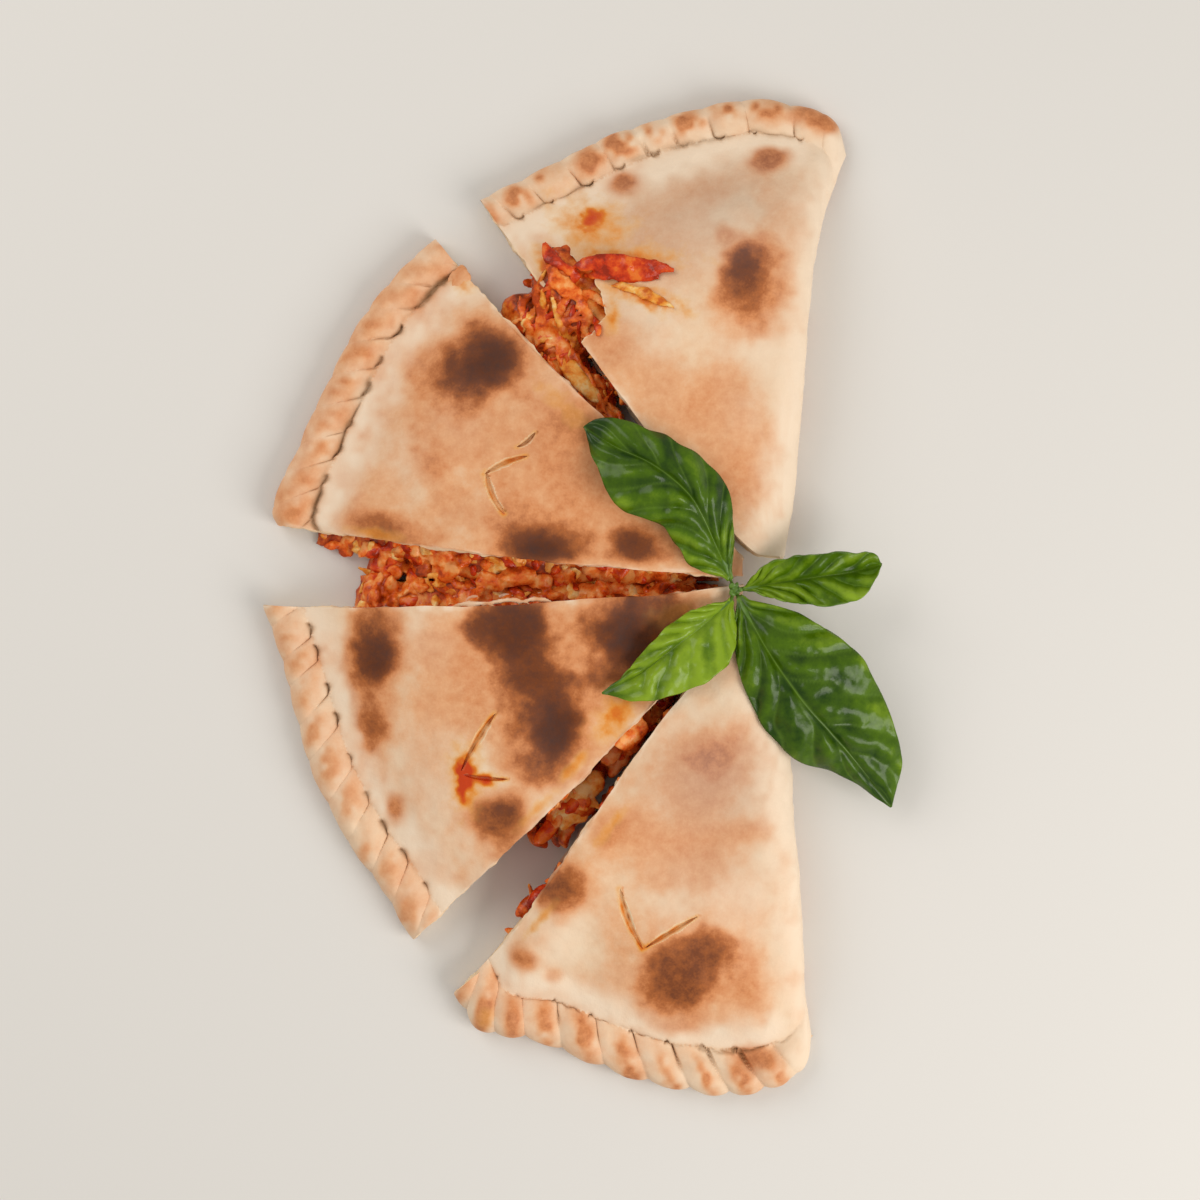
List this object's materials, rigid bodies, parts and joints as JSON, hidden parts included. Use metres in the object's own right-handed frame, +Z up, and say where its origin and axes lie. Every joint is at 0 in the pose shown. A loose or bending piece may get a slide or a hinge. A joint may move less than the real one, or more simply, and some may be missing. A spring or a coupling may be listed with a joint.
{
  "type": "calzone",
  "caption": "Calzone with a crimped rim, cut into slices that show ham, tomato and cheese, with a sprig of basil on top.",
  "frame": {"origin": "middle of the outline seen from above, on the surface that the calzone rests on", "axes": "+X from the crimped rim towards the fold, +Y along the fold towards slice 1, +Z up out of the plate"},
  "size_m": [0.1919, 0.3014, 0.0369],
  "materials": {
    "crust": "baked dough, dry and floury",
    "filling": "moist ham, tomato and melted cheese",
    "basil": "fresh leaf, glossy"
  },
  "bodies": {
    "root": {"slice_1_crust": "crust", "slice_1_filling": "filling", "slice_2_crust": "crust", "slice_2_filling": "filling", "slice_3_crust": "crust", "slice_3_filling": "filling", "slice_4_crust": "crust", "slice_4_filling": "filling", "basil_sprig": "basil"}
  },
  "joints": []
}
